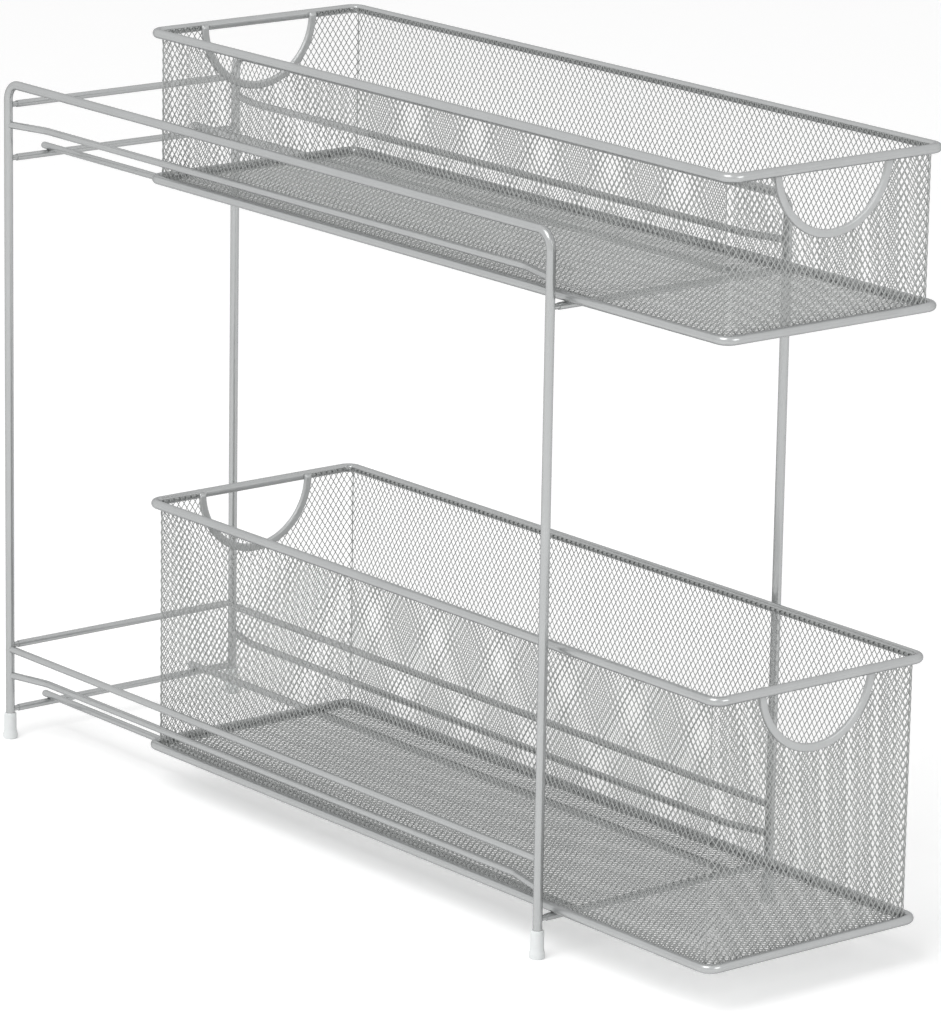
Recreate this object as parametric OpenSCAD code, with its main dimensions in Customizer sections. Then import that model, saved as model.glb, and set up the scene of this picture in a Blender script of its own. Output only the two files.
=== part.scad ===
// Two-tier pull-out organizer for the cabinet under a sink.
// Two bent wire hoops stand side by side on capped legs and are held apart by cross bars.
// Each tier has two support rails, two guide rails and a mesh basket that slides out to the front.
// The frame is open at the front, which faces -Y. The origin is on the floor, under the middle of the model.

/* [Frame] */
// Distance between the left and right leg centres
frame_w = 152; // [130:1:260]
// Distance between the front and rear leg centres
frame_d = 460; // [380:1:560]
// Height of the hoops' top bars above the floor, at the wire's centre
frame_h = 367.5; // [362:0.5:460]
// Bend radius at the top corners of a hoop, at the wire's centre
hoop_bend_r = 9; // [6:0.5:16]
// Height of the straight side bar between two legs, at the wire's centre
side_bar_z = 51.2; // [41:0.1:120]
// Wire diameter of the hoops
leg_d = 4.8; // [4:0.1:6]
// Wire diameter of the cross bars, rails and side bars
rail_d = 3.8; // [3.2:0.1:4.6]
// Diameter of the short studs that join a cross bar to the legs
stud_d = 3; // [2:0.1:3.2]
// Length of a stud between the leg and the end of its cross bar
stud_l = 2.8; // [1.5:0.1:4]
// Gap left at a weld between two wires
weld_gap = 0.05; // [0.02:0.01:0.2]

/* [Foot caps] */
// Height of a foot cap
cap_h = 14.6; // [10:0.1:14.6]
// Diameter of a foot cap at its top
cap_top_d = 6.8; // [6.2:0.1:8]
// Diameter of the flared base of a foot cap
cap_base_d = 8.2; // [7.4:0.1:10]
// Thickness of a foot cap under the end of the leg
cap_floor = 2; // [1:0.1:4]
// Gap between a leg and the bore of its cap
cap_gap = 0.05; // [0.02:0.01:0.2]

/* [Tiers] */
// Height of the upper shelf bar at the rear, at the wire's centre
upper_shelf_z = 326.4; // [300:0.1:328]
// Height of the lower shelf bar at the rear, at the wire's centre
lower_shelf_z = 16.5; // [16.5:0.1:20]
// Height of the upper stop bar above the upper shelf bar
upper_stop_rise = 29.3; // [27:0.1:34]
// Height of the lower stop bar above the lower shelf bar
lower_stop_rise = 36.6; // [30:0.1:60]
// Gap between the upper basket's bottom rim and the guide rail above it
upper_guide_gap = 5.8; // [1:0.1:7]
// Gap between the lower basket's bottom rim and the guide rail above it
lower_guide_gap = 6.9; // [1:0.1:8]
// How far a guide rail reaches over the basket's bottom rim
guide_overlap = 1.7; // [0.5:0.1:2.5]
// Distance along the frame from a leg's centre to the bend of a guide rail
guide_jog = 26.5; // [20:0.5:50]
// Bend radius of a guide rail, at the wire's centre
guide_bend_r = 20; // [12:1:30]
// Distance from the basket's rim centre to the support rail under it
support_inset = 17; // [8:0.5:40]
// How far a support rail reaches past the centre of the rear shelf bar
support_tail = 5.3; // [3:0.1:12]

/* [Baskets] */
// Wire diameter of the basket rims
rim_d = 4.8; // [4:0.1:6]
// Corner radius of the rims, at the wire's centre
rim_corner_r = 6; // [5:0.5:14]
// Height between the rim centres of the upper basket
upper_basket_h = 77.5; // [60:0.5:140]
// Height between the rim centres of the lower basket
lower_basket_h = 134; // [80:0.5:220]
// Gap between a rim and the legs beside it
basket_side_gap = 4.2; // [3:0.1:8]
// Running gap between a basket and the rails it slides on
basket_lift = 0.3; // [0.2:0.05:1]
// Gap between a closed basket's rear wall and its stop bar
stop_gap = 0.3; // [0.1:0.05:2]
// Distance from the front leg's centre back to a closed basket's front rim centre
front_setback = 1.7; // [0:0.1:12]
// How far the baskets stand pulled out
pull_out = 120.2; // [0:0.1:300]

/* [Mesh] */
// Thickness of the expanded metal sheet
sheet_t = 1; // [0.6:0.1:1.6]
// Height of the wall's top edge above the rim centre
sheet_lip = 1.2; // [0.5:0.1:2]
// Width of the plain hem round each panel
hem_w = 4; // [2.5:0.5:8]
// Width of a diamond, strand centre to strand centre
diamond_w = 30; // [20:1:60]
// Height of a diamond, strand centre to strand centre
diamond_h = 43; // [28:1:80]
// Width of a strand between two diamonds
strand_w = 3; // [1.5:0.1:5]

/* [Handles] */
// Inner radius of the round hand hole under the rim
handle_r = 31.5; // [22:0.5:36]
// Width of the flat trim round the hand hole
trim_w = 6; // [3:0.5:8]
// Thickness of the trim, through the wall
trim_t = 2.4; // [1.8:0.1:3.2]

/* [Hidden] */

$fn = 16;
eps = 0.01;

leg_r = leg_d / 2;
rail_r = rail_d / 2;
rim_r = rim_d / 2;
leg_x = frame_w / 2;

// Plan of the baskets, measured from the middle of the frame
rim_x = leg_x - leg_r - basket_side_gap - rim_r;
wall_x = rim_x - rim_r;
wall_corner_r = rim_corner_r - rim_r;
closed_rear_wall = frame_d - rail_r - stop_gap;
rim_rear = closed_rear_wall + rim_r - pull_out;
rim_front = front_setback - pull_out;
wall_rear = rim_rear - rim_r;
wall_front = rim_front + rim_r;

// Rails and bars of the two tiers
support_x = rim_x - support_inset;
guide_x = rim_x + rim_r - guide_overlap + rail_r;
upper_support_z = upper_shelf_z + rail_d;
lower_support_z = lower_shelf_z + rail_d;
upper_rim_z = upper_support_z + rail_r + basket_lift + rim_r;
lower_rim_z = lower_support_z + rail_r + basket_lift + rim_r;
upper_guide_z = upper_rim_z + rim_r + upper_guide_gap + rail_r;
lower_guide_z = lower_rim_z + rim_r + lower_guide_gap + rail_r;
upper_top_z = upper_rim_z + upper_basket_h;
lower_top_z = lower_rim_z + lower_basket_h;
bar_half = leg_x - leg_r - stud_l;

// The model is moved so that the origin lies under the middle of its box
reach_front = rim_front - rim_r;
reach_rear = frame_d + support_tail;
origin_y = (reach_front + reach_rear) / 2;

wire_grey = [0.80, 0.81, 0.82];
mesh_grey = [0.74, 0.75, 0.76];
trim_grey = [0.72, 0.73, 0.74];
cap_white = [0.86, 0.87, 0.87];

// Everything is drawn with y = 0 at the front legs and then moved to the origin
module place() {
    translate([0, -origin_y, 0]) children();
}

// A quarter bend, or less, of a wire of diameter d about the Z axis, from the X axis on
module bend(r, d, angle = 90) {
    rotate_extrude(angle = angle) translate([r, 0]) circle(d = d);
}

// A straight wire along Y
module bar_y(d, y0, y1) {
    translate([0, y0, 0]) rotate([-90, 0, 0]) cylinder(h = y1 - y0, d = d);
}

// A straight wire along X, centred
module bar_x(d, l) {
    rotate([0, 90, 0]) cylinder(h = l, d = d, center = true);
}

// Stands the XY plane up as the YZ plane
module upright() {
    rotate([90, 0, 90]) children();
}

// One side of the frame: front leg, top bar and rear leg bent from one wire
module hoop(side) {
    leg_l = frame_h - hoop_bend_r - cap_floor;
    translate([side * leg_x, 0, 0]) {
        for (y = [0, frame_d]) translate([0, y, cap_floor]) cylinder(h = leg_l, d = leg_d);
        translate([0, frame_d - hoop_bend_r, frame_h - hoop_bend_r]) upright() bend(hoop_bend_r, leg_d);
        translate([0, hoop_bend_r, frame_h - hoop_bend_r]) upright() rotate([0, 0, 90]) bend(hoop_bend_r, leg_d);
        translate([0, 0, frame_h]) bar_y(leg_d, hoop_bend_r, frame_d - hoop_bend_r);
    }
}

// The space that a leg and its welds take up, for coping wires against it
module leg_room(side, y) {
    translate([side * leg_x, y, 0]) cylinder(h = frame_h, d = leg_d + 2 * weld_gap);
}

// Straight bar low down between the legs of one hoop
module side_bar(side) {
    difference() {
        translate([side * leg_x, 0, side_bar_z]) bar_y(rail_d, 0, frame_d);
        leg_room(side, 0);
        leg_room(side, frame_d);
    }
}

// Front half of a guide rail: out from the leg, through the bend and on to the middle
module half_guide() {
    jog_x = leg_x - guide_x;
    turn = atan2(jog_x, guide_jog);
    tangent = guide_bend_r * tan(turn / 2);
    jog_l = norm([jog_x, guide_jog]) - tangent;
    translate([leg_x, 0, 0]) rotate([0, 0, turn]) bar_y(rail_d, 0, jog_l);
    translate([guide_x + guide_bend_r, guide_jog + tangent, 0])
        rotate([0, 0, 180]) bend(guide_bend_r, rail_d, turn);
    translate([guide_x, 0, 0]) bar_y(rail_d, guide_jog + tangent, frame_d / 2);
}

// Guide rail beside a basket, set in from the legs so that it reaches over the bottom rim
module guide_rail(side, z) {
    difference() {
        translate([0, 0, z]) mirror([side < 0 ? 1 : 0, 0, 0]) {
            half_guide();
            translate([0, frame_d, 0]) mirror([0, 1, 0]) half_guide();
        }
        leg_room(side, 0);
        leg_room(side, frame_d);
    }
}

// Cross bar between the left and right legs, carried on a stud at each end
module cross_bar(y, z) {
    translate([0, y, z]) bar_x(rail_d, 2 * bar_half);
}

// The two studs of one cross bar
module stud_pair(y, z) {
    for (side = [-1, 1]) {
        difference() {
            translate([side > 0 ? bar_half : -leg_x, y, z])
                rotate([0, 90, 0]) cylinder(h = leg_x - bar_half, d = stud_d);
            leg_room(side, y);
        }
    }
}

// Support rail under a basket: lies on the rear shelf bar and butts on the front bar
module support_rail(side, z) {
    tail_y = frame_d + support_tail - rail_r;
    difference() {
        translate([side * support_x, 0, z]) rotate([-90, 0, 0]) rotate_extrude() {
            square([rail_r, tail_y]);
            intersection() {
                translate([0, tail_y]) circle(r = rail_r);
                translate([0, tail_y]) square([rail_d, rail_d]);
            }
        }
        translate([0, 0, z]) bar_x(rail_d + 2 * weld_gap, frame_w);
    }
}

// Soft cap pushed over the end of a leg, with a flared base
module foot_cap(side, y) {
    bore_r = leg_r + cap_gap;
    base_r = cap_base_d / 2;
    top_r = cap_top_d / 2;
    edge = 0.5;
    flare_h = 2.4;
    neck_h = 5;
    translate([side * leg_x, y, 0]) rotate_extrude(convexity = 4) polygon([
        [0, 0], [base_r - edge, 0], [base_r, edge], [base_r, flare_h], [top_r + 0.1, neck_h],
        [top_r, cap_h - edge], [top_r - edge, cap_h], [bore_r, cap_h], [bore_r, cap_floor], [0, cap_floor]
    ]);
}

// Closed wire loop round a basket at height z
module rim(z) {
    rx = rim_x - rim_corner_r;
    y0 = rim_front + rim_corner_r;
    y1 = rim_rear - rim_corner_r;
    translate([0, 0, z]) {
        for (x = [-rim_x, rim_x]) translate([x, 0, 0]) bar_y(rim_d, y0, y1);
        for (y = [rim_front, rim_rear]) translate([0, y, 0]) bar_x(rim_d, 2 * rx);
        translate([rx, y1, 0]) bend(rim_corner_r, rim_d);
        translate([-rx, y1, 0]) rotate([0, 0, 90]) bend(rim_corner_r, rim_d);
        translate([-rx, y0, 0]) rotate([0, 0, 180]) bend(rim_corner_r, rim_d);
        translate([rx, y0, 0]) rotate([0, 0, 270]) bend(rim_corner_r, rim_d);
    }
}

// Corner points of one diamond at (cx, cy), cut off at the edges of a w by h window
function diamond(cx, cy, a, b, w, h) = [
    for (p = [[cx - a, cy], [cx, cy - b], [cx + a, cy], [cx, cy + b]])
        if (p.x > -eps && p.x < w + eps && p.y > -eps && p.y < h + eps) p
];

// The openings of an expanded metal panel: staggered rows of diamonds in a w by h window
module diamonds(w, h) {
    nx = max(2, round(w / diamond_w));
    ny = max(1, round(h / diamond_h));
    px = w / nx;
    py = h / ny;
    reach = px * py / 2 / norm([px, py]);
    k = 1 - strand_w / (2 * reach);
    for (i = [0 : nx], j = [0 : ny]) {
        on_corner = (i == 0 || i == nx) && (j == 0 || j == ny);
        if (!on_corner) polygon(diamond(i * px, j * py, k * px / 2, k * py / 2, w, h));
        if (i < nx && j < ny) polygon(diamond((i + 0.5) * px, (j + 0.5) * py, k * px / 2, k * py / 2, w, h));
    }
}

// Flat mesh panel with a plain hem round it
module panel(w, h) {
    difference() {
        square([w, h]);
        translate([hem_w, hem_w]) diamonds(w - 2 * hem_w, h - 2 * hem_w);
    }
}

// Flat mesh panel with a round hand hole in its top edge
module handle_panel(w, h) {
    hole_r = handle_r + trim_w;
    difference() {
        square([w, h]);
        difference() {
            translate([hem_w, hem_w]) diamonds(w - 2 * hem_w, h - 2 * hem_w);
            translate([w / 2, h]) circle(r = hole_r + hem_w / 2, $fn = 48);
        }
        translate([w / 2, h]) circle(r = hole_r, $fn = 48);
    }
}

// Side wall of a basket between the rounded corners
module side_mesh(side, rim_z, top_z) {
    base_z = rim_z - rim_r + sheet_t;
    l = wall_rear - wall_front - 2 * wall_corner_r;
    translate([side * wall_x - (side > 0 ? sheet_t : 0), wall_front + wall_corner_r, base_z])
        upright() linear_extrude(sheet_t) panel(l, top_z + sheet_lip - base_z);
}

// Front wall of a basket with its two rounded corners, drawn about y = 0 as its outer face
module end_mesh(rim_z, top_z) {
    base_z = rim_z - rim_r + sheet_t;
    h = top_z + sheet_lip - base_z;
    flat_w = 2 * (wall_x - wall_corner_r);
    translate([-flat_w / 2, sheet_t, base_z]) rotate([90, 0, 0]) linear_extrude(sheet_t) handle_panel(flat_w, h);
    for (side = [-1, 1])
        translate([side * flat_w / 2, wall_corner_r, base_z]) rotate([0, 0, side > 0 ? 270 : 180])
            rotate_extrude(angle = 90) translate([wall_corner_r - sheet_t, 0]) square([sheet_t, h]);
}

// Puts a front piece in its place, or turns it round to the rear
module at_end(rear) {
    if (rear) {
        translate([0, wall_rear, 0]) mirror([0, 1, 0]) children();
    } else {
        translate([0, wall_front, 0]) children();
    }
}

// Floor of a basket, with its corners rounded like the walls
module floor_mesh(rim_z) {
    l = wall_rear - wall_front;
    rx = wall_x - wall_corner_r;
    translate([0, wall_front, rim_z - rim_r]) linear_extrude(sheet_t) difference() {
        union() {
            translate([-rx, 0]) square([2 * rx, l]);
            translate([-wall_x, wall_corner_r]) square([2 * wall_x, l - 2 * wall_corner_r]);
            for (x = [-rx, rx], y = [wall_corner_r, l - wall_corner_r]) translate([x, y]) circle(r = wall_corner_r);
        }
        translate([-wall_x + hem_w, l - hem_w]) rotate([0, 0, -90]) diamonds(l - 2 * hem_w, 2 * (wall_x - hem_w));
    }
}

// Trim round the hand hole, clear of the rim wire in front of it, about y = 0 as the wall's outer face
module handle_trim(top_z) {
    outer_r = handle_r + trim_w;
    difference() {
        translate([0, (sheet_t + trim_t) / 2, top_z + sheet_lip]) rotate([90, 0, 0]) linear_extrude(trim_t) difference() {
            circle(r = outer_r - eps, $fn = 48);
            circle(r = handle_r, $fn = 48);
            translate([-outer_r, 0]) square([2 * outer_r, outer_r]);
        }
        translate([0, -rim_r, top_z]) bar_x(rim_d + 2 * weld_gap, frame_w);
    }
}

module left_hoop() { color(wire_grey) place() hoop(-1); }
module right_hoop() { color(wire_grey) place() hoop(1); }
module left_side_bar() { color(wire_grey) place() side_bar(-1); }
module right_side_bar() { color(wire_grey) place() side_bar(1); }
module upper_left_guide_rail() { color(wire_grey) place() guide_rail(-1, upper_guide_z); }
module upper_right_guide_rail() { color(wire_grey) place() guide_rail(1, upper_guide_z); }
module lower_left_guide_rail() { color(wire_grey) place() guide_rail(-1, lower_guide_z); }
module lower_right_guide_rail() { color(wire_grey) place() guide_rail(1, lower_guide_z); }
module upper_stop_bar() { color(wire_grey) place() cross_bar(frame_d, upper_shelf_z + upper_stop_rise); }
module upper_shelf_bar() { color(wire_grey) place() cross_bar(frame_d, upper_shelf_z); }
module lower_stop_bar() { color(wire_grey) place() cross_bar(frame_d, lower_shelf_z + lower_stop_rise); }
module lower_shelf_bar() { color(wire_grey) place() cross_bar(frame_d, lower_shelf_z); }
module upper_front_bar() { color(wire_grey) place() cross_bar(0, upper_support_z); }
module lower_front_bar() { color(wire_grey) place() cross_bar(0, lower_support_z); }
module upper_left_support_rail() { color(wire_grey) place() support_rail(-1, upper_support_z); }
module upper_right_support_rail() { color(wire_grey) place() support_rail(1, upper_support_z); }
module lower_left_support_rail() { color(wire_grey) place() support_rail(-1, lower_support_z); }
module lower_right_support_rail() { color(wire_grey) place() support_rail(1, lower_support_z); }

module rear_bar_studs() {
    color(wire_grey) place() {
        for (z = [upper_shelf_z, lower_shelf_z]) stud_pair(frame_d, z);
        stud_pair(frame_d, upper_shelf_z + upper_stop_rise);
        stud_pair(frame_d, lower_shelf_z + lower_stop_rise);
    }
}

module front_bar_studs() {
    color(wire_grey) place() {
        for (z = [upper_support_z, lower_support_z]) stud_pair(0, z);
    }
}

module front_left_foot_cap() { color(cap_white) place() foot_cap(-1, 0); }
module front_right_foot_cap() { color(cap_white) place() foot_cap(1, 0); }
module rear_left_foot_cap() { color(cap_white) place() foot_cap(-1, frame_d); }
module rear_right_foot_cap() { color(cap_white) place() foot_cap(1, frame_d); }

module upper_basket_top_rim() { color(wire_grey) place() rim(upper_top_z); }
module upper_basket_bottom_rim() { color(wire_grey) place() rim(upper_rim_z); }
module upper_basket_floor_mesh() { color(mesh_grey) place() floor_mesh(upper_rim_z); }
module upper_basket_left_mesh() { color(mesh_grey) place() side_mesh(-1, upper_rim_z, upper_top_z); }
module upper_basket_right_mesh() { color(mesh_grey) place() side_mesh(1, upper_rim_z, upper_top_z); }
module upper_basket_front_mesh() { color(mesh_grey) place() at_end(false) end_mesh(upper_rim_z, upper_top_z); }
module upper_basket_rear_mesh() { color(mesh_grey) place() at_end(true) end_mesh(upper_rim_z, upper_top_z); }
module upper_basket_front_handle_trim() { color(trim_grey) place() at_end(false) handle_trim(upper_top_z); }
module upper_basket_rear_handle_trim() { color(trim_grey) place() at_end(true) handle_trim(upper_top_z); }
module lower_basket_top_rim() { color(wire_grey) place() rim(lower_top_z); }
module lower_basket_bottom_rim() { color(wire_grey) place() rim(lower_rim_z); }
module lower_basket_floor_mesh() { color(mesh_grey) place() floor_mesh(lower_rim_z); }
module lower_basket_left_mesh() { color(mesh_grey) place() side_mesh(-1, lower_rim_z, lower_top_z); }
module lower_basket_right_mesh() { color(mesh_grey) place() side_mesh(1, lower_rim_z, lower_top_z); }
module lower_basket_front_mesh() { color(mesh_grey) place() at_end(false) end_mesh(lower_rim_z, lower_top_z); }
module lower_basket_rear_mesh() { color(mesh_grey) place() at_end(true) end_mesh(lower_rim_z, lower_top_z); }
module lower_basket_front_handle_trim() { color(trim_grey) place() at_end(false) handle_trim(lower_top_z); }
module lower_basket_rear_handle_trim() { color(trim_grey) place() at_end(true) handle_trim(lower_top_z); }

left_hoop();
right_hoop();
left_side_bar();
right_side_bar();
upper_left_guide_rail();
upper_right_guide_rail();
lower_left_guide_rail();
lower_right_guide_rail();
upper_stop_bar();
upper_shelf_bar();
lower_stop_bar();
lower_shelf_bar();
upper_front_bar();
lower_front_bar();
upper_left_support_rail();
upper_right_support_rail();
lower_left_support_rail();
lower_right_support_rail();
rear_bar_studs();
front_bar_studs();
front_left_foot_cap();
front_right_foot_cap();
rear_left_foot_cap();
rear_right_foot_cap();
upper_basket_top_rim();
upper_basket_bottom_rim();
upper_basket_floor_mesh();
upper_basket_left_mesh();
upper_basket_right_mesh();
upper_basket_front_mesh();
upper_basket_rear_mesh();
upper_basket_front_handle_trim();
upper_basket_rear_handle_trim();
lower_basket_top_rim();
lower_basket_bottom_rim();
lower_basket_floor_mesh();
lower_basket_left_mesh();
lower_basket_right_mesh();
lower_basket_front_mesh();
lower_basket_rear_mesh();
lower_basket_front_handle_trim();
lower_basket_rear_handle_trim();
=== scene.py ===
import math

import bmesh
import bpy
from mathutils import Matrix, Vector


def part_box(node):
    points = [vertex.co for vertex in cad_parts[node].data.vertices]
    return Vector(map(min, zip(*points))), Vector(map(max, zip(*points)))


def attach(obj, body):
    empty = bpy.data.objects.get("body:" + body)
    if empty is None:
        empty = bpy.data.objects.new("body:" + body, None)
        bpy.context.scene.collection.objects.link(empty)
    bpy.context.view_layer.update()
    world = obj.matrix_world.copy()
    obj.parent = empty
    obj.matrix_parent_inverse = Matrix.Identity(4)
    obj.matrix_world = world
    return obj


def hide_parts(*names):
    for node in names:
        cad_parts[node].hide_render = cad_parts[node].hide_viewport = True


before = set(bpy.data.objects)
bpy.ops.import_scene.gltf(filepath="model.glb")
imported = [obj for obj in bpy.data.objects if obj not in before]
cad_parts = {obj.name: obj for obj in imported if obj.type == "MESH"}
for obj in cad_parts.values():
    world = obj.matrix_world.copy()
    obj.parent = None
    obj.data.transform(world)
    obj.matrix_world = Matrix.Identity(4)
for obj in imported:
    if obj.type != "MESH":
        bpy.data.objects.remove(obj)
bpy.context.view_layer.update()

bl_info = {
    "name": "Under sink organizer",
    "version": (1, 0, 0),
    "blender": (4, 5, 0),
    "location": "View3D > Sidebar > Organizer",
    "description": "Dresses a two-tier pull-out wire organizer with its expanded metal baskets",
    "category": "Object",
}

MM = 0.001
TIERS = ("upper", "lower")

# Half the side of a grid that is one unit wide
UNIT_GRID = 0.5
# Cells past the sheet's own count, so that the turned lattice covers its corners
SPARE_CELLS = 3
CUT_TOLERANCE = 1e-7
# Share of a diamond under which a cell cut off by a border stays closed
CLOSED_SHARE = 0.3
# Thickness of a basket wall in the frame, which the sheet is bent in the middle of
WALL = 1.0 * MM
# How far a trim covers the sheet round its hand hole
TRIM_GRIP = 2 * MM
TRIM_STEPS = 48
TRIM_CORNER_STEPS = 4

MOTTLE_SCALE, MOTTLE_DETAIL = 60.0, 4.0
MOTTLE_DARK, MOTTLE_LIGHT = 0.78, 1.08
MOTTLE_ROUGHNESS = 0.12
PEEL_SCALE, PEEL_DETAIL = 900.0, 2.0
PEEL_DEPTH = 0.02 * MM
EDGE_TINT = (0.4, 0.4, 0.41, 1.0)
NO_TINT = (1, 1, 1, 1)
CAP_SCATTER, CAP_SCATTER_REACH = 0.15, 2 * MM

WIRE_COAT = {"metallic": 0.65, "gloss": 0.16, "mottle": 0.35, "peel": 0.3}
RIM_COAT = {"metallic": 0.65, "gloss": 0.18, "mottle": 0.35, "peel": 0.3}
TRIM_COAT = {"metallic": 0.4, "gloss": 0.26, "mottle": 0.35, "peel": 0.3}
MESH_COAT = {"metallic": 0.45, "gloss": 0.28, "mottle": 0.8, "peel": 0.25}
CAP_PLASTIC = {"metallic": 0.0, "gloss": 0.38, "mottle": 0.35, "peel": 0.3}

IMAGE_HEIGHT = 1024
SENSOR_WIDTH = 36.0
VIEW_LIMIT = 50.0
# Distance from the middle of the floor to its edges
FLOOR_REACH = 15.0
FLOOR_ROUGHNESS, FLOOR_SPECULAR = 0.9, 0.1
# Brightness added to the floor where it is seen as the background
FLOOR_LIFT = 0.31
WORLD_DIM, WORLD_BRIGHT = 0.15, 1.15
# Turns the bright side of the surroundings to the organizer's left
WORLD_TURN = math.radians(-90)
LIGHT_AIM = (0.0, 0.0, 0.2)
KEY_LIGHT = {"place": (-1.6, -0.6, 2.2), "size": (1.4, 1.4), "power": 22.0}
FRONT_LIGHT = {"place": (0.6, -2.6, 1.4), "size": (1.6, 1.2), "power": 14.0}


class OrganizerMeshSettings(bpy.types.PropertyGroup):
    """Sizes of the expanded metal sheet"""

    pitch_w: bpy.props.FloatProperty(
        name="Diamond width", description="Distance between strands across a diamond",
        default=3.65 * MM, min=0.001, unit="LENGTH")
    pitch_h: bpy.props.FloatProperty(
        name="Diamond height", description="Distance between strands along a diamond",
        default=5.35 * MM, min=0.001, unit="LENGTH")
    strand: bpy.props.FloatProperty(
        name="Strand width", description="Width of one strand between two diamonds of a wall",
        default=0.38 * MM, min=0.0002, unit="LENGTH")
    floor_strand: bpy.props.FloatProperty(
        name="Floor strand width", description="Width of one strand between two diamonds of a floor",
        default=0.72 * MM, min=0.0002, unit="LENGTH")
    sheet: bpy.props.FloatProperty(
        name="Sheet thickness", description="Thickness of the sheet before it is expanded",
        default=0.42 * MM, min=0.0002, unit="LENGTH")
    tilt: bpy.props.FloatProperty(
        name="Strand tilt", description="How far the two edges of a strand stand out of the sheet",
        default=0.15 * MM, min=0.0, unit="LENGTH")


class OrganizerTrimSettings(bpy.types.PropertyGroup):
    """Sizes of the channel round a hand hole"""

    width: bpy.props.FloatProperty(
        name="Trim width", description="Width of the channel from the hand hole outwards",
        default=4.2 * MM, min=0.002, unit="LENGTH")
    rounding: bpy.props.FloatProperty(
        name="Trim rounding", description="Radius of the channel's rolled edges",
        default=0.9 * MM, min=0.0001, unit="LENGTH")


class OrganizerFinishSettings(bpy.types.PropertyGroup):
    """Colours of the finishes"""

    wire: bpy.props.FloatVectorProperty(
        name="Wire", description="Colour of the powder coat on the frame and rims",
        default=(0.47, 0.48, 0.48), size=3, min=0.0, max=1.0, subtype="COLOR")
    mesh: bpy.props.FloatVectorProperty(
        name="Mesh", description="Colour of the powder coat on the expanded metal",
        default=(0.44, 0.45, 0.445), size=3, min=0.0, max=1.0, subtype="COLOR")
    trim: bpy.props.FloatVectorProperty(
        name="Trim", description="Colour of the trim round the hand holes",
        default=(0.50, 0.51, 0.51), size=3, min=0.0, max=1.0, subtype="COLOR")
    cap: bpy.props.FloatVectorProperty(
        name="Foot cap", description="Colour of the soft plastic foot caps",
        default=(0.76, 0.78, 0.78), size=3, min=0.0, max=1.0, subtype="COLOR")


class OrganizerStageSettings(bpy.types.PropertyGroup):
    """Camera and floor"""

    azimuth: bpy.props.FloatProperty(
        name="Azimuth", description="Turn of the camera round the organizer, to the left of its front",
        default=math.radians(38.92), subtype="ANGLE")
    elevation: bpy.props.FloatProperty(
        name="Elevation", description="Height of the camera above the horizon",
        default=math.radians(14.76), subtype="ANGLE")
    roll: bpy.props.FloatProperty(
        name="Roll", description="Turn of the camera about its own line of sight",
        default=math.radians(0.976), subtype="ANGLE")
    distance: bpy.props.FloatProperty(
        name="Distance", description="Distance from the camera to the point that it looks at",
        default=3.155, unit="LENGTH")
    target: bpy.props.FloatVectorProperty(
        name="Target", description="Point that the camera looks at",
        default=(0.0550, 0.0483, 0.1609), size=3, subtype="TRANSLATION", unit="LENGTH")
    focal_px: bpy.props.FloatProperty(
        name="Focal length", description="Focal length in pixels of the image", default=5958.0)
    floor: bpy.props.FloatVectorProperty(
        name="Floor", description="Colour of the floor",
        default=(0.93, 0.93, 0.93), size=3, min=0.0, max=1.0, subtype="COLOR")


def link_mesh(name, bm):
    """Turns a bmesh into an object at the origin."""
    mesh = bpy.data.meshes.new(name)
    bm.to_mesh(mesh)
    bm.free()
    piece = bpy.data.objects.new(name, mesh)
    bpy.context.scene.collection.objects.link(piece)
    return piece


def dress(piece, material):
    """Gives a piece its one material."""
    piece.data.materials.clear()
    piece.data.materials.append(material)


def add_math(nodes, operation, *numbers):
    """Math node with numbers in its second and later inputs."""
    node = nodes.new("ShaderNodeMath")
    node.operation = operation
    for socket, number in zip(node.inputs[1:], numbers):
        socket.default_value = number
    return node


def add_noise(nodes, scale, detail):
    """Noise texture node."""
    node = nodes.new("ShaderNodeTexNoise")
    node.inputs["Scale"].default_value = scale
    node.inputs["Detail"].default_value = detail
    return node


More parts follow.
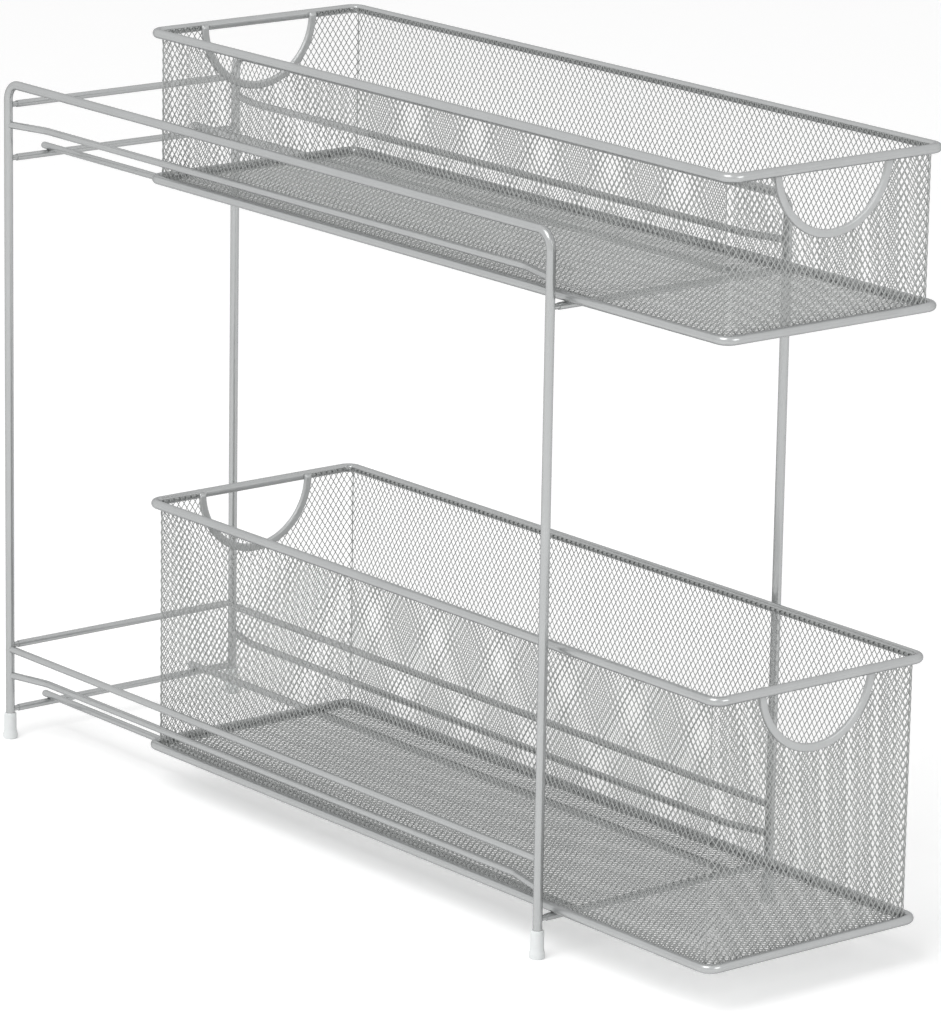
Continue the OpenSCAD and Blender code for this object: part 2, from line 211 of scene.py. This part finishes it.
def coat_group():
    """Coat shared by all finishes: fine orange peel, faint mottling and uneven gloss."""
    name = "PowderCoat"
    if name in bpy.data.node_groups:
        return bpy.data.node_groups[name]
    group = bpy.data.node_groups.new(name, "ShaderNodeTree")
    face = group.interface
    face.new_socket("Coat Color", in_out="INPUT", socket_type="NodeSocketColor")
    for given_name in ("Mottle", "Gloss", "Peel"):
        face.new_socket(given_name, in_out="INPUT", socket_type="NodeSocketFloat")
    face.new_socket("Color", in_out="OUTPUT", socket_type="NodeSocketColor")
    face.new_socket("Roughness", in_out="OUTPUT", socket_type="NodeSocketFloat")
    face.new_socket("Normal", in_out="OUTPUT", socket_type="NodeSocketVector")
    nodes, links = group.nodes, group.links
    given = nodes.new("NodeGroupInput")
    result = nodes.new("NodeGroupOutput")
    place = nodes.new("ShaderNodeTexCoord")
    mottle = add_noise(nodes, MOTTLE_SCALE, MOTTLE_DETAIL)
    peel = add_noise(nodes, PEEL_SCALE, PEEL_DETAIL)
    shade = nodes.new("ShaderNodeMapRange")
    shade.inputs["To Min"].default_value = MOTTLE_DARK
    shade.inputs["To Max"].default_value = MOTTLE_LIGHT
    darker = nodes.new("ShaderNodeMix")
    darker.data_type = "RGBA"
    darker.blend_type = "MULTIPLY"
    rough = add_math(nodes, "MULTIPLY_ADD", MOTTLE_ROUGHNESS)
    bump = nodes.new("ShaderNodeBump")
    bump.inputs["Distance"].default_value = PEEL_DEPTH
    links.new(place.outputs["Object"], mottle.inputs["Vector"])
    links.new(place.outputs["Object"], peel.inputs["Vector"])
    links.new(mottle.outputs["Fac"], shade.inputs["Value"])
    links.new(given.outputs["Mottle"], darker.inputs["Factor"])
    links.new(given.outputs["Coat Color"], darker.inputs["A"])
    links.new(shade.outputs["Result"], darker.inputs["B"])
    links.new(darker.outputs["Result"], result.inputs["Color"])
    links.new(mottle.outputs["Fac"], rough.inputs[0])
    links.new(given.outputs["Gloss"], rough.inputs[2])
    links.new(rough.outputs["Value"], result.inputs["Roughness"])
    links.new(peel.outputs["Fac"], bump.inputs["Height"])
    links.new(given.outputs["Peel"], bump.inputs["Strength"])
    links.new(bump.outputs["Normal"], result.inputs["Normal"])
    return group


def coated(name, colour, metallic, gloss, mottle, peel):
    """Material built on the shared coat."""
    material = bpy.data.materials.new(name)
    material.use_nodes = True
    nodes, links = material.node_tree.nodes, material.node_tree.links
    shader = nodes["Principled BSDF"]
    shader.inputs["Metallic"].default_value = metallic
    shader.inputs["Specular Tint"].default_value = EDGE_TINT
    coat = nodes.new("ShaderNodeGroup")
    coat.node_tree = coat_group()
    coat.inputs["Coat Color"].default_value = (*colour, 1.0)
    coat.inputs["Mottle"].default_value = mottle
    coat.inputs["Gloss"].default_value = gloss
    coat.inputs["Peel"].default_value = peel
    links.new(coat.outputs["Color"], shader.inputs["Base Color"])
    links.new(coat.outputs["Roughness"], shader.inputs["Roughness"])
    links.new(coat.outputs["Normal"], shader.inputs["Normal"])
    return material


def soft_plastic(name, colour):
    """Slightly translucent plastic of the foot caps."""
    material = coated(name, colour, **CAP_PLASTIC)
    shader = material.node_tree.nodes["Principled BSDF"]
    shader.inputs["Specular Tint"].default_value = NO_TINT
    shader.inputs["Subsurface Weight"].default_value = CAP_SCATTER
    shader.inputs["Subsurface Radius"].default_value = (CAP_SCATTER_REACH,) * 3
    return material


def diamond_lattice(width, height, settings):
    """Sheet of closed diamonds in the XY plane, cut to a rectangle that starts at the origin."""
    cells = int(width / settings.pitch_w + height / settings.pitch_h) + SPARE_CELLS
    root2 = math.sqrt(2)
    stretch = Matrix.Diagonal((settings.pitch_w / root2, settings.pitch_h / root2, 1, 1))
    lattice = (Matrix.Translation((width / 2, height / 2, 0)) @ stretch
               @ Matrix.Rotation(math.radians(45), 4, "Z") @ Matrix.Scale(cells, 4))
    bm = bmesh.new()
    bmesh.ops.create_grid(bm, x_segments=cells, y_segments=cells, size=UNIT_GRID, matrix=lattice)
    borders = (((0, 0, 0), (-1, 0, 0)), ((0, 0, 0), (0, -1, 0)),
               ((width, 0, 0), (1, 0, 0)), ((0, height, 0), (0, 1, 0)))
    for point, outward in borders:
        bmesh.ops.bisect_plane(
            bm, geom=bm.verts[:] + bm.edges[:] + bm.faces[:], dist=CUT_TOLERANCE,
            plane_co=point, plane_no=outward, clear_outer=True)
    return bm


def open_diamonds(bm, settings, strand):
    """Opens the diamonds of a lattice and tilts the strands that are left between them."""
    whole = settings.pitch_w * settings.pitch_h / 2
    diamonds = [face for face in bm.faces if face.calc_area() > whole * CLOSED_SHARE]
    bmesh.ops.inset_individual(
        bm, faces=diamonds, thickness=strand / 2, use_even_offset=True)
    for face in diamonds:
        middle = face.calc_center_median().x
        for vert in face.verts:
            vert.co.z -= settings.tilt * (vert.co.x - middle) / (settings.pitch_w / 2)
    bmesh.ops.delete(bm, geom=diamonds, context="FACES")


def diamond_sheet(width, height, settings, strand, hole=None):
    """Expanded metal sheet in the XY plane from the origin, with an optional round hole (x, y, radius)."""
    bm = diamond_lattice(width, height, settings)
    if hole:
        centre, radius = Vector((hole[0], hole[1], 0)), hole[2]
        inside = [face for face in bm.faces if (face.calc_center_median() - centre).length < radius]
        bmesh.ops.delete(bm, geom=inside, context="FACES")
    open_diamonds(bm, settings, strand)
    grown = bmesh.ops.extrude_face_region(bm, geom=bm.faces[:], use_keep_orig=True)
    top = [part for part in grown["geom"] if isinstance(part, bmesh.types.BMVert)]
    bmesh.ops.translate(bm, verts=top, vec=(0, 0, settings.sheet))
    bmesh.ops.recalc_face_normals(bm, faces=bm.faces[:])
    return bm


def side_panel(node, settings):
    """Side wall of a basket as expanded metal, standing in the YZ plane."""
    low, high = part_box(node)
    bm = diamond_sheet(high.y - low.y, high.z - low.z, settings, settings.strand)
    lift = (high.x - low.x - settings.sheet) / 2
    stand = Matrix(((0, 0, 1, low.x + lift), (1, 0, 0, low.y), (0, 1, 0, low.z), (0, 0, 0, 1)))
    bmesh.ops.transform(bm, matrix=stand, verts=bm.verts[:])
    return bm


def end_panel(node, trim_node, settings):
    """End wall of a basket as expanded metal, bent round its two corners."""
    low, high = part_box(node)
    trim_low, trim_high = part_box(trim_node)
    radius = high.y - low.y
    neutral = radius - WALL / 2
    quarter = neutral * math.pi / 2
    flat = high.x - low.x - 2 * radius
    width = flat + 2 * quarter
    hole = (width / 2, high.z - low.z, (trim_high.x - trim_low.x) / 2 - TRIM_GRIP)
    bm = diamond_sheet(width, high.z - low.z, settings, settings.strand, hole)
    rear = low.y > 0
    centre_y = low.y if rear else high.y
    outward = 1 if rear else -1
    for vert in bm.verts:
        along, up, depth = vert.co.x - width / 2, vert.co.y, vert.co.z - settings.sheet / 2
        reach = neutral + depth
        turn = max(0.0, abs(along) - flat / 2) / neutral
        side = 1 if along > 0 else -1
        x = side * (min(abs(along), flat / 2) + reach * math.sin(turn))
        vert.co = (x, centre_y + outward * reach * math.cos(turn), low.z + up)
    bmesh.ops.recalc_face_normals(bm, faces=bm.faces[:])
    return bm


def floor_panel(node, settings):
    """Floor of a basket as expanded metal, lying in the XY plane."""
    low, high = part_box(node)
    bm = diamond_sheet(high.y - low.y, high.x - low.x, settings, settings.floor_strand)
    lift = (high.z - low.z - settings.sheet) / 2
    lay = Matrix(((0, 1, 0, low.x), (1, 0, 0, low.y), (0, 0, -1, high.z - lift), (0, 0, 0, 1)))
    bmesh.ops.transform(bm, matrix=lay, verts=bm.verts[:])
    return bm


class ORGANIZER_OT_mesh_panels(bpy.types.Operator):
    """Replace the basket panels with expanded metal at its real pitch"""

    bl_idname = "organizer.mesh_panels"
    bl_label = "Add mesh panels"

    def execute(self, context):
        settings = context.scene.organizer_mesh
        material = coated("mesh_coat", context.scene.organizer_finish.mesh, **MESH_COAT)
        for tier in TIERS:
            basket = f"{tier}_basket"
            made = {"floor": floor_panel(f"{basket}_floor_mesh", settings)}
            for side in ("left", "right"):
                made[side] = side_panel(f"{basket}_{side}_mesh", settings)
            for end in ("front", "rear"):
                made[end] = end_panel(f"{basket}_{end}_mesh", f"{basket}_{end}_handle_trim", settings)
            for place, bm in made.items():
                piece = link_mesh(f"{tier}_{place}_expanded_metal", bm)
                dress(piece, material)
                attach(piece, basket)
                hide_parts(f"{basket}_{place}_mesh")
        return {"FINISHED"}


def half_ring(node, settings):
    """Rolled channel that runs half round below a hand hole."""
    low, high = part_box(node)
    middle = (low + high) / 2
    outer = (high.x - low.x) / 2
    centre = Vector((middle.x, middle.y, low.z + outer))
    section = Vector((centre.x + outer - settings.width / 2, centre.y, centre.z))
    outline = Matrix.Translation(section) @ Matrix.Diagonal((settings.width, high.y - low.y, 1, 1))
    bm = bmesh.new()
    bmesh.ops.create_grid(bm, x_segments=1, y_segments=1, size=UNIT_GRID, matrix=outline)
    bmesh.ops.bevel(
        bm, geom=bm.verts[:] + bm.edges[:], offset=settings.rounding, affect="VERTICES",
        segments=TRIM_CORNER_STEPS, profile=0.5, material=-1)
    bmesh.ops.delete(bm, geom=bm.faces[:], context="FACES_ONLY")
    bmesh.ops.spin(
        bm, geom=bm.verts[:] + bm.edges[:], cent=centre, axis=(0, 1, 0), angle=math.pi,
        steps=TRIM_STEPS, use_merge=False)
    ends = [edge for edge in bm.edges if edge.is_boundary]
    bmesh.ops.holes_fill(bm, edges=ends, sides=0)
    bmesh.ops.recalc_face_normals(bm, faces=bm.faces[:])
    for face in bm.faces:
        face.smooth = len(face.verts) == 4
    return bm


class ORGANIZER_OT_handle_trims(bpy.types.Operator):
    """Put a rolled channel round each hand hole"""

    bl_idname = "organizer.handle_trims"
    bl_label = "Add handle trims"

    def execute(self, context):
        settings = context.scene.organizer_trim
        material = coated("trim_coat", context.scene.organizer_finish.trim, **TRIM_COAT)
        for tier in TIERS:
            for end in ("front", "rear"):
                node = f"{tier}_basket_{end}_handle_trim"
                piece = link_mesh(f"{tier}_{end}_rolled_trim", half_ring(node, settings))
                dress(piece, material)
                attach(piece, f"{tier}_basket")
                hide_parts(node)
        return {"FINISHED"}


class ORGANIZER_OT_finish_metal(bpy.types.Operator):
    """Coat the frame wires and the basket rims"""

    bl_idname = "organizer.finish_metal"
    bl_label = "Finish wires and rims"

    def execute(self, context):
        finish = context.scene.organizer_finish
        wire = coated("wire_coat", finish.wire, **WIRE_COAT)
        rim = coated("rim_coat", finish.wire, **RIM_COAT)
        for name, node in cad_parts.items():
            if name.endswith(("_mesh", "_trim", "foot_cap")):
                continue
            if name.endswith("_rim"):
                dress(node, rim)
            else:
                dress(node, wire)
        return {"FINISHED"}


class ORGANIZER_OT_finish_caps(bpy.types.Operator):
    """Give the foot caps their soft plastic"""

    bl_idname = "organizer.finish_caps"
    bl_label = "Finish foot caps"

    def execute(self, context):
        plastic = soft_plastic("cap_plastic", context.scene.organizer_finish.cap)
        for name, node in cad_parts.items():
            if name.endswith("foot_cap"):
                dress(node, plastic)
        return {"FINISHED"}


def add_camera(settings):
    """Camera at the photographed angle."""
    az, el, roll = settings.azimuth, settings.elevation, settings.roll
    ahead = Vector((math.cos(el) * math.sin(az), math.cos(el) * math.cos(az), -math.sin(el)))
    right = Vector((math.cos(az), -math.sin(az), 0))
    up = right.cross(ahead)
    side = math.cos(roll) * right + math.sin(roll) * up
    top = math.cos(roll) * up - math.sin(roll) * right
    data = bpy.data.cameras.new("camera")
    data.sensor_width = SENSOR_WIDTH
    data.lens = settings.focal_px * data.sensor_width / IMAGE_HEIGHT
    data.clip_end = VIEW_LIMIT
    camera = bpy.data.objects.new("camera", data)
    turned = Matrix((side, top, -ahead)).transposed().to_4x4()
    camera.matrix_world = Matrix.Translation(Vector(settings.target) - settings.distance * ahead) @ turned
    bpy.context.scene.collection.objects.link(camera)
    bpy.context.scene.camera = camera


def add_area_light(name, place, size, power):
    """Soft box that looks at the organizer."""
    data = bpy.data.lights.new(name, "AREA")
    data.shape = "RECTANGLE"
    data.size, data.size_y = size
    data.energy = power
    light = bpy.data.objects.new(name, data)
    look = (Vector(LIGHT_AIM) - Vector(place)).to_track_quat("-Z", "Y")
    light.matrix_world = Matrix.Translation(place) @ look.to_matrix().to_4x4()
    bpy.context.scene.collection.objects.link(light)


def seen_rays(nodes, links):
    """Socket that is 1 for the rays that show a background: direct, mirrored or through glass."""
    path = nodes.new("ShaderNodeLightPath")
    direct = add_math(nodes, "MAXIMUM")
    every = add_math(nodes, "MAXIMUM")
    links.new(path.outputs["Is Camera Ray"], direct.inputs[0])
    links.new(path.outputs["Is Glossy Ray"], direct.inputs[1])
    links.new(direct.outputs["Value"], every.inputs[0])
    links.new(path.outputs["Is Transmission Ray"], every.inputs[1])
    return every.outputs["Value"]


def floor_paint(colour):
    """White paint of the floor, a little brighter where it is seen as the background."""
    material = bpy.data.materials.new("floor_paint")
    material.use_nodes = True
    nodes, links = material.node_tree.nodes, material.node_tree.links
    shader = nodes["Principled BSDF"]
    shader.inputs["Base Color"].default_value = (*colour, 1.0)
    shader.inputs["Roughness"].default_value = FLOOR_ROUGHNESS
    shader.inputs["Specular IOR Level"].default_value = FLOOR_SPECULAR
    lift = add_math(nodes, "MULTIPLY", FLOOR_LIFT)
    glow = nodes.new("ShaderNodeEmission")
    both = nodes.new("ShaderNodeAddShader")
    links.new(seen_rays(nodes, links), lift.inputs[0])
    links.new(lift.outputs["Value"], glow.inputs["Strength"])
    links.new(shader.outputs["BSDF"], both.inputs[0])
    links.new(glow.outputs["Emission"], both.inputs[1])
    links.new(both.outputs["Shader"], nodes["Material Output"].inputs["Surface"])
    return material


def add_floor(colour):
    """Plain pale floor that keeps the object's shadow."""
    bm = bmesh.new()
    bmesh.ops.create_grid(bm, x_segments=1, y_segments=1, size=FLOOR_REACH)
    floor = link_mesh("floor", bm)
    floor.data.materials.append(floor_paint(colour))


def set_world():
    """White surroundings that light the object more from its left than from its right."""
    world = bpy.data.worlds.new("studio")
    world.use_nodes = True
    nodes, links = world.node_tree.nodes, world.node_tree.links
    background = nodes["Background"]
    background.inputs["Color"].default_value = (1, 1, 1, 1)
    place = nodes.new("ShaderNodeTexCoord")
    split = nodes.new("ShaderNodeSeparateXYZ")
    around = add_math(nodes, "ARCTAN2")
    turned = add_math(nodes, "ADD", WORLD_TURN)
    wave = add_math(nodes, "SINE")
    level = nodes.new("ShaderNodeMapRange")
    level.inputs["From Min"].default_value = -1.0
    level.inputs["To Min"].default_value = WORLD_DIM
    level.inputs["To Max"].default_value = WORLD_BRIGHT
    white = nodes.new("ShaderNodeMix")
    white.inputs["B"].default_value = 1.0
    links.new(place.outputs["Generated"], split.inputs["Vector"])
    links.new(split.outputs["Y"], around.inputs[0])
    links.new(split.outputs["X"], around.inputs[1])
    links.new(around.outputs["Value"], turned.inputs[0])
    links.new(turned.outputs["Value"], wave.inputs[0])
    links.new(wave.outputs["Value"], level.inputs["Value"])
    links.new(seen_rays(nodes, links), white.inputs["Factor"])
    links.new(level.outputs["Result"], white.inputs["A"])
    links.new(white.outputs["Result"], background.inputs["Strength"])
    bpy.context.scene.world = world


class ORGANIZER_OT_stage(bpy.types.Operator):
    """Add the floor, the soft light and the camera"""

    bl_idname = "organizer.stage"
    bl_label = "Add stage"

    def execute(self, context):
        settings = context.scene.organizer_stage
        add_floor(settings.floor)
        set_world()
        add_area_light("key_light", **KEY_LIGHT)
        add_area_light("front_light", **FRONT_LIGHT)
        add_camera(settings)
        context.scene.view_settings.view_transform = "Standard"
        return {"FINISHED"}


class ORGANIZER_PT_panel(bpy.types.Panel):
    """Lists the steps that dress the organizer"""

    bl_label = "Under sink organizer"
    bl_idname = "ORGANIZER_PT_panel"
    bl_space_type = "VIEW_3D"
    bl_region_type = "UI"
    bl_category = "Organizer"

    def draw(self, context):
        layout = self.layout
        for operator in OPERATORS:
            layout.operator(operator.bl_idname)
        for group in SETTINGS:
            settings = getattr(context.scene, group)
            for name in settings.__annotations__:
                layout.prop(settings, name)


OPERATORS = (
    ORGANIZER_OT_mesh_panels, ORGANIZER_OT_handle_trims, ORGANIZER_OT_finish_metal,
    ORGANIZER_OT_finish_caps, ORGANIZER_OT_stage)
SETTINGS = {
    "organizer_mesh": OrganizerMeshSettings,
    "organizer_trim": OrganizerTrimSettings,
    "organizer_finish": OrganizerFinishSettings,
    "organizer_stage": OrganizerStageSettings,
}
CLASSES = (*SETTINGS.values(), *OPERATORS, ORGANIZER_PT_panel)


def register():
    """Adds the classes and the scene's settings."""
    for cls in CLASSES:
        bpy.utils.register_class(cls)
    for name, group in SETTINGS.items():
        setattr(bpy.types.Scene, name, bpy.props.PointerProperty(type=group))


def unregister():
    """Takes the settings and the classes away again."""
    for name in SETTINGS:
        delattr(bpy.types.Scene, name)
    for cls in reversed(CLASSES):
        bpy.utils.unregister_class(cls)


def main():
    """Dresses the organizer."""
    register()
    bpy.ops.organizer.mesh_panels()
    bpy.ops.organizer.handle_trims()
    bpy.ops.organizer.finish_metal()
    bpy.ops.organizer.finish_caps()
    bpy.ops.organizer.stage()


if __name__ == "__main__":
    main()
